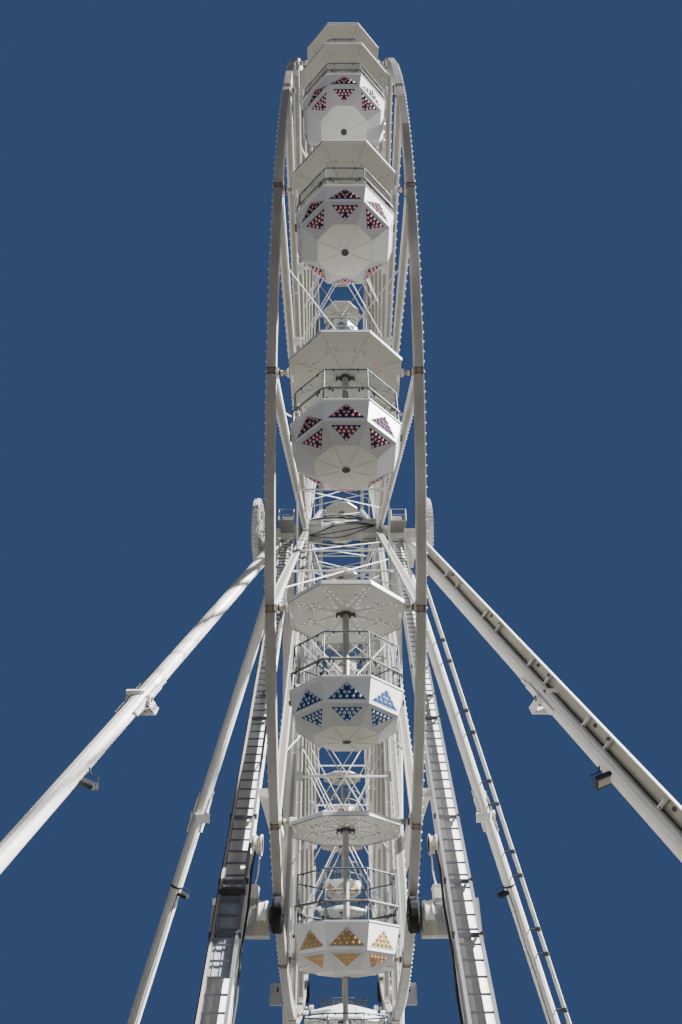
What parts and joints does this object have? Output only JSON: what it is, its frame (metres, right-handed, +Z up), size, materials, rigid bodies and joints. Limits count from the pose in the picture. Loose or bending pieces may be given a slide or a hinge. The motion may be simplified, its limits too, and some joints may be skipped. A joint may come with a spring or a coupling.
{
  "type": "ferris wheel",
  "caption": "Transportable ferris wheel: twin rims on radial spokes turn on tube A-frames, with open octagonal cabins that hang level.",
  "frame": {"origin": "on the ground, straight under the middle of the axle", "axes": "+Z up, +X along the axle to the right seen from the front, +Y to the rear"},
  "size_m": [18.1002, 34.3848, 35.7392],
  "materials": {
    "ivory_paint": "satin",
    "rim_paint": "weathered satin",
    "galvanised_steel": "dull",
    "deck_steel": "worn",
    "motor_paint": "satin",
    "tyre_rubber": "matte",
    "disc_plastic": "gloss",
    "cabin_shell": "gloss"
  },
  "bodies": {
    "frame": {"tower_head_left": "ivory_paint", "tower_head_right": "ivory_paint", "ladder_left": "galvanised_steel", "ladder_right": "galvanised_steel", "base_left": "ivory_paint", "base_right": "ivory_paint", "platform": "deck_steel", "a_frame_left": "ivory_paint", "a_frame_right": "ivory_paint", "strut_front_left": "ivory_paint", "strut_rear_left": "ivory_paint", "strut_front_right": "ivory_paint", "strut_rear_right": "ivory_paint", "drive_front_left": "motor_paint", "drive_rear_left": "motor_paint", "drive_front_right": "motor_paint", "drive_rear_right": "motor_paint"},
    "wheel": {"hub_drum": "rim_paint", "spokes_01": "ivory_paint", "spokes_02": "ivory_paint", "spokes_03": "ivory_paint", "spokes_04": "ivory_paint", "spokes_05": "ivory_paint", "spokes_06": "ivory_paint", "spokes_07": "ivory_paint", "spokes_08": "ivory_paint", "rim_left": "rim_paint", "rim_right": "rim_paint", "hub_disc_left": "disc_plastic", "hub_disc_right": "disc_plastic"},
    "cabin_01": {"cabin_01": "cabin_shell"},
    "cabin_02": {"cabin_02": "cabin_shell"},
    "cabin_03": {"cabin_03": "cabin_shell"},
    "cabin_04": {"cabin_04": "cabin_shell"},
    "cabin_05": {"cabin_05": "cabin_shell"},
    "cabin_06": {"cabin_06": "cabin_shell"},
    "cabin_07": {"cabin_07": "cabin_shell"},
    "cabin_08": {"cabin_08": "cabin_shell"},
    "cabin_09": {"cabin_09": "cabin_shell"},
    "cabin_10": {"cabin_10": "cabin_shell"},
    "cabin_11": {"cabin_11": "cabin_shell"},
    "cabin_12": {"cabin_12": "cabin_shell"},
    "cabin_13": {"cabin_13": "cabin_shell"},
    "cabin_14": {"cabin_14": "cabin_shell"},
    "cabin_15": {"cabin_15": "cabin_shell"},
    "cabin_16": {"cabin_16": "cabin_shell"},
    "cabin_17": {"cabin_17": "cabin_shell"},
    "cabin_18": {"cabin_18": "cabin_shell"},
    "cabin_19": {"cabin_19": "cabin_shell"},
    "cabin_20": {"cabin_20": "cabin_shell"},
    "cabin_21": {"cabin_21": "cabin_shell"},
    "cabin_22": {"cabin_22": "cabin_shell"},
    "cabin_23": {"cabin_23": "cabin_shell"},
    "cabin_24": {"cabin_24": "cabin_shell"},
    "tyre_front_left": {"tyre_front_left": "tyre_rubber"},
    "tyre_rear_left": {"tyre_rear_left": "tyre_rubber"},
    "tyre_front_right": {"tyre_front_right": "tyre_rubber"},
    "tyre_rear_right": {"tyre_rear_right": "tyre_rubber"}
  },
  "joints": [
    {"name": "wheel_turn", "type": "hinge", "parent": "frame", "child": "wheel", "pos_m": [0, 0, 19.4], "axis": [1, 0, 0], "continuous": true},
    {"name": "cabin_01_swing", "type": "hinge", "parent": "wheel", "child": "cabin_01", "pos_m": [0, -8.52467, 5.62429], "axis": [1, 0, 0], "continuous": true},
    {"name": "cabin_02_swing", "type": "hinge", "parent": "wheel", "child": "cabin_02", "pos_m": [0, -11.79961, 8.30004], "axis": [1, 0, 0], "continuous": true},
    {"name": "cabin_03_swing", "type": "hinge", "parent": "wheel", "child": "cabin_03", "pos_m": [0, -14.27043, 11.73222], "axis": [1, 0, 0], "continuous": true},
    {"name": "cabin_04_swing", "type": "hinge", "parent": "wheel", "child": "cabin_04", "pos_m": [0, -15.76874, 15.68695], "axis": [1, 0, 0], "continuous": true},
    {"name": "cabin_05_swing", "type": "hinge", "parent": "wheel", "child": "cabin_05", "pos_m": [0, -16.19244, 19.89472], "axis": [1, 0, 0], "continuous": true},
    {"name": "cabin_06_swing", "type": "hinge", "parent": "wheel", "child": "cabin_06", "pos_m": [0, -15.51266, 24.06878], "axis": [1, 0, 0], "continuous": true},
    {"name": "cabin_07_swing", "type": "hinge", "parent": "wheel", "child": "cabin_07", "pos_m": [0, -13.77571, 27.92467], "axis": [1, 0, 0], "continuous": true},
    {"name": "cabin_08_swing", "type": "hinge", "parent": "wheel", "child": "cabin_08", "pos_m": [0, -11.09996, 31.19961], "axis": [1, 0, 0], "continuous": true},
    {"name": "cabin_09_swing", "type": "hinge", "parent": "wheel", "child": "cabin_09", "pos_m": [0, -7.66778, 33.67043], "axis": [1, 0, 0], "continuous": true},
    {"name": "cabin_10_swing", "type": "hinge", "parent": "wheel", "child": "cabin_10", "pos_m": [0, -3.71305, 35.16874], "axis": [1, 0, 0], "continuous": true},
    {"name": "cabin_11_swing", "type": "hinge", "parent": "wheel", "child": "cabin_11", "pos_m": [0, 0.49472, 35.59244], "axis": [1, 0, 0], "continuous": true},
    {"name": "cabin_12_swing", "type": "hinge", "parent": "wheel", "child": "cabin_12", "pos_m": [0, 4.66878, 34.91266], "axis": [1, 0, 0], "continuous": true},
    {"name": "cabin_13_swing", "type": "hinge", "parent": "wheel", "child": "cabin_13", "pos_m": [0, 8.52467, 33.17571], "axis": [1, 0, 0], "continuous": true},
    {"name": "cabin_14_swing", "type": "hinge", "parent": "wheel", "child": "cabin_14", "pos_m": [0, 11.79961, 30.49996], "axis": [1, 0, 0], "continuous": true},
    {"name": "cabin_15_swing", "type": "hinge", "parent": "wheel", "child": "cabin_15", "pos_m": [0, 14.27043, 27.06778], "axis": [1, 0, 0], "continuous": true},
    {"name": "cabin_16_swing", "type": "hinge", "parent": "wheel", "child": "cabin_16", "pos_m": [0, 15.76874, 23.11305], "axis": [1, 0, 0], "continuous": true},
    {"name": "cabin_17_swing", "type": "hinge", "parent": "wheel", "child": "cabin_17", "pos_m": [0, 16.19244, 18.90528], "axis": [1, 0, 0], "continuous": true},
    {"name": "cabin_18_swing", "type": "hinge", "parent": "wheel", "child": "cabin_18", "pos_m": [0, 15.51266, 14.73122], "axis": [1, 0, 0], "continuous": true},
    {"name": "cabin_19_swing", "type": "hinge", "parent": "wheel", "child": "cabin_19", "pos_m": [0, 13.77571, 10.87533], "axis": [1, 0, 0], "continuous": true},
    {"name": "cabin_20_swing", "type": "hinge", "parent": "wheel", "child": "cabin_20", "pos_m": [0, 11.09996, 7.60039], "axis": [1, 0, 0], "continuous": true},
    {"name": "cabin_21_swing", "type": "hinge", "parent": "wheel", "child": "cabin_21", "pos_m": [0, 7.66778, 5.12957], "axis": [1, 0, 0], "continuous": true},
    {"name": "cabin_22_swing", "type": "hinge", "parent": "wheel", "child": "cabin_22", "pos_m": [0, 3.71305, 3.63126], "axis": [1, 0, 0], "continuous": true},
    {"name": "cabin_23_swing", "type": "hinge", "parent": "wheel", "child": "cabin_23", "pos_m": [0, -0.49472, 3.20756], "axis": [1, 0, 0], "continuous": true},
    {"name": "cabin_24_swing", "type": "hinge", "parent": "wheel", "child": "cabin_24", "pos_m": [0, -4.66878, 3.88734], "axis": [1, 0, 0], "continuous": true},
    {"name": "tyre_front_left_spin", "type": "hinge", "parent": "frame", "child": "tyre_front_left", "pos_m": [-1.305, -7.092, 4.32872], "axis": [1, 0, 0], "continuous": true},
    {"name": "tyre_rear_left_spin", "type": "hinge", "parent": "frame", "child": "tyre_rear_left", "pos_m": [-1.305, 7.092, 4.32872], "axis": [1, 0, 0], "continuous": true},
    {"name": "tyre_front_right_spin", "type": "hinge", "parent": "frame", "child": "tyre_front_right", "pos_m": [1.305, -7.092, 4.32872], "axis": [1, 0, 0], "continuous": true},
    {"name": "tyre_rear_right_spin", "type": "hinge", "parent": "frame", "child": "tyre_rear_right", "pos_m": [1.305, 7.092, 4.32872], "axis": [1, 0, 0], "continuous": true}
  ],
  "couplings": [
    {"joint": "cabin_01_swing", "follows": "wheel_turn", "ratio": -1},
    {"joint": "cabin_02_swing", "follows": "wheel_turn", "ratio": -1},
    {"joint": "cabin_03_swing", "follows": "wheel_turn", "ratio": -1},
    {"joint": "cabin_04_swing", "follows": "wheel_turn", "ratio": -1},
    {"joint": "cabin_05_swing", "follows": "wheel_turn", "ratio": -1},
    {"joint": "cabin_06_swing", "follows": "wheel_turn", "ratio": -1},
    {"joint": "cabin_07_swing", "follows": "wheel_turn", "ratio": -1},
    {"joint": "cabin_08_swing", "follows": "wheel_turn", "ratio": -1},
    {"joint": "cabin_09_swing", "follows": "wheel_turn", "ratio": -1},
    {"joint": "cabin_10_swing", "follows": "wheel_turn", "ratio": -1},
    {"joint": "cabin_11_swing", "follows": "wheel_turn", "ratio": -1},
    {"joint": "cabin_12_swing", "follows": "wheel_turn", "ratio": -1},
    {"joint": "cabin_13_swing", "follows": "wheel_turn", "ratio": -1},
    {"joint": "cabin_14_swing", "follows": "wheel_turn", "ratio": -1},
    {"joint": "cabin_15_swing", "follows": "wheel_turn", "ratio": -1},
    {"joint": "cabin_16_swing", "follows": "wheel_turn", "ratio": -1},
    {"joint": "cabin_17_swing", "follows": "wheel_turn", "ratio": -1},
    {"joint": "cabin_18_swing", "follows": "wheel_turn", "ratio": -1},
    {"joint": "cabin_19_swing", "follows": "wheel_turn", "ratio": -1},
    {"joint": "cabin_20_swing", "follows": "wheel_turn", "ratio": -1},
    {"joint": "cabin_21_swing", "follows": "wheel_turn", "ratio": -1},
    {"joint": "cabin_22_swing", "follows": "wheel_turn", "ratio": -1},
    {"joint": "cabin_23_swing", "follows": "wheel_turn", "ratio": -1},
    {"joint": "cabin_24_swing", "follows": "wheel_turn", "ratio": -1},
    {"joint": "tyre_front_left_spin", "follows": "wheel_turn", "ratio": -53.58},
    {"joint": "tyre_rear_left_spin", "follows": "wheel_turn", "ratio": -53.58},
    {"joint": "tyre_front_right_spin", "follows": "wheel_turn", "ratio": -53.58},
    {"joint": "tyre_rear_right_spin", "follows": "wheel_turn", "ratio": -53.58}
  ]
}
